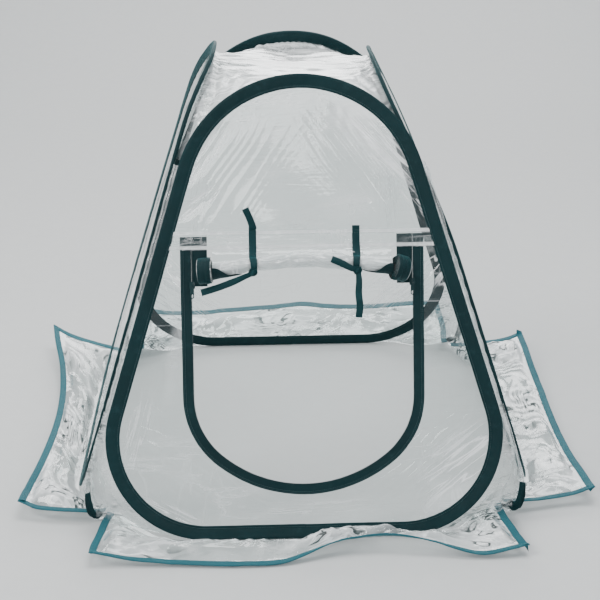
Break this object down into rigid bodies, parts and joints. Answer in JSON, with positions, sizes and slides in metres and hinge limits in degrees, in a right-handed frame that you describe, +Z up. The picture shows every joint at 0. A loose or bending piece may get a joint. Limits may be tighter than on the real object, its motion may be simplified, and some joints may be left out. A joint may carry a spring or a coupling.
{
  "type": "pop up greenhouse",
  "caption": "Small pop up greenhouse: sprung fabric-covered hoops filled with clear film lean together as a pyramid, with ground flaps and a rolled-up zipped door.",
  "frame": {"origin": "on the ground under the centre of the greenhouse", "axes": "+Z up, the door faces -Y, +X to the right seen from the door"},
  "size_m": [1.1572, 1.1572, 0.7983],
  "materials": {
    "clear_film": "clear glossy PVC film",
    "sleeve_fabric": "dark green woven binding",
    "hem_tape": "teal woven hem tape",
    "zip_tape": "dark green zip tape",
    "zip_coil": "moulded nylon coil",
    "tie_strap": "dark green woven tape",
    "zip_metal": "dark lacquered zinc",
    "spring_steel": "bright spring wire",
    "ferrule_steel": "zinc plated"
  },
  "bodies": {
    "front_panel": {"front_hoop_sleeve": "sleeve_fabric", "front_hoop_wire": "spring_steel", "front_hoop_ferrule": "ferrule_steel", "front_upper_film": "clear_film", "front_lower_film": "clear_film", "front_band": "clear_film", "zip_tape_fixed": "zip_tape", "zip_coil_fixed": "zip_coil", "zip_tape_closed_left": "zip_tape", "zip_tape_closed_right": "zip_tape", "zip_coil_closed_left": "zip_coil", "zip_coil_closed_right": "zip_coil", "tie_strap_front_left": "tie_strap", "tie_strap_front_right": "tie_strap", "tie_strap_back_left": "tie_strap", "tie_strap_back_right": "tie_strap", "tie_knot_left": "tie_strap", "tie_knot_right": "tie_strap", "corner_seam_front_left": "sleeve_fabric", "corner_seam_front_right": "sleeve_fabric", "lower_corner_film_front_left": "clear_film", "lower_corner_film_front_right": "clear_film", "roof_film": "clear_film"},
    "left_panel": {"left_hoop_sleeve": "sleeve_fabric", "left_hoop_wire": "spring_steel", "left_hoop_ferrule": "ferrule_steel", "left_panel_film": "clear_film", "corner_seam_back_left": "sleeve_fabric", "lower_corner_film_back_left": "clear_film"},
    "right_panel": {"right_hoop_sleeve": "sleeve_fabric", "right_hoop_wire": "spring_steel", "right_hoop_ferrule": "ferrule_steel", "right_panel_film": "clear_film", "corner_seam_back_right": "sleeve_fabric", "lower_corner_film_back_right": "clear_film"},
    "back_panel": {"back_hoop_sleeve": "sleeve_fabric", "back_hoop_wire": "spring_steel", "back_hoop_ferrule": "ferrule_steel", "back_panel_film": "clear_film"},
    "door_roll": {"door_roll_film": "clear_film", "rolled_zip_end_left": "zip_tape", "rolled_zip_end_right": "zip_tape"},
    "front_skirt": {"front_skirt_film": "clear_film", "front_skirt_hem": "hem_tape"},
    "right_skirt": {"right_skirt_film": "clear_film", "right_skirt_hem": "hem_tape"},
    "back_skirt": {"back_skirt_film": "clear_film", "back_skirt_hem": "hem_tape"},
    "left_skirt": {"left_skirt_film": "clear_film", "left_skirt_hem": "hem_tape"},
    "slider_left": {"zip_slider_left": "zip_metal"},
    "pull_left": {"zip_pull_left": "zip_metal"},
    "slider_right": {"zip_slider_right": "zip_metal"},
    "pull_right": {"zip_pull_right": "zip_metal"}
  },
  "joints": [
    {"name": "left_panel_fold", "type": "hinge", "parent": "front_panel", "child": "left_panel", "pos_m": [0, 0, 1.34375], "axis": [-0.2915, -0.2915, -0.9111], "range_deg": [0, 86], "deforming": ["roof_film", "lower_corner_film_front_left", "lower_corner_film_back_right", "corner_seam_back_right"]},
    {"name": "right_panel_fold", "type": "hinge", "parent": "front_panel", "child": "right_panel", "pos_m": [0, 0, 1.34375], "axis": [0.2915, -0.2915, -0.9111], "range_deg": [0, 81.3], "deforming": ["lower_corner_film_front_right"]},
    {"name": "back_panel_fold", "type": "hinge", "parent": "left_panel", "child": "back_panel", "pos_m": [0, 0, 1.34375], "axis": [0.2915, -0.2915, 0.9111], "range_deg": [0, 81.3], "deforming": ["lower_corner_film_back_left"]},
    {"name": "door_roll_swing", "type": "hinge", "parent": "front_panel", "child": "door_roll", "pos_m": [0, -0.27656, 0.50181], "axis": [-1, 0, 0], "range_deg": [0, 70], "deforming": ["tie_strap_front_left", "tie_strap_back_left", "tie_knot_left", "tie_strap_front_right", "tie_strap_back_right", "tie_knot_right"]},
    {"name": "front_skirt_lift", "type": "hinge", "parent": "front_panel", "child": "front_skirt", "pos_m": [0, -0.4386, 0.001], "axis": [-1, 0, 0], "range_deg": [0, 100]},
    {"name": "right_skirt_lift", "type": "hinge", "parent": "right_panel", "child": "right_skirt", "pos_m": [0.4386, 0, 0.001], "axis": [0, -1, 0], "range_deg": [0, 100]},
    {"name": "back_skirt_lift", "type": "hinge", "parent": "back_panel", "child": "back_skirt", "pos_m": [0, 0.4386, 0.001], "axis": [1, 0, 0], "range_deg": [0, 100]},
    {"name": "left_skirt_lift", "type": "hinge", "parent": "left_panel", "child": "left_skirt", "pos_m": [-0.4386, 0, 0.001], "axis": [0, 1, 0], "range_deg": [0, 100]},
    {"name": "zip_slide_left", "type": "slide", "parent": "front_panel", "child": "slider_left", "axis": [0, -0.3048, -0.9524], "range_m": [0, 0.19]},
    {"name": "zip_pull_swing_left", "type": "hinge", "parent": "slider_left", "child": "pull_left", "pos_m": [-0.1975, -0.29803, 0.4439], "axis": [-1, 0, 0], "range_deg": [0, 150]},
    {"name": "zip_slide_right", "type": "slide", "parent": "front_panel", "child": "slider_right", "axis": [0, -0.3048, -0.9524], "range_m": [0, 0.19]},
    {"name": "zip_pull_swing_right", "type": "hinge", "parent": "slider_right", "child": "pull_right", "pos_m": [0.1975, -0.29803, 0.4439], "axis": [-1, 0, 0], "range_deg": [0, 150]}
  ],
  "couplings": [
    {"joint": "right_panel_fold", "follows": "left_panel_fold", "ratio": 0.945},
    {"joint": "back_panel_fold", "follows": "left_panel_fold", "ratio": 0.945}
  ]
}
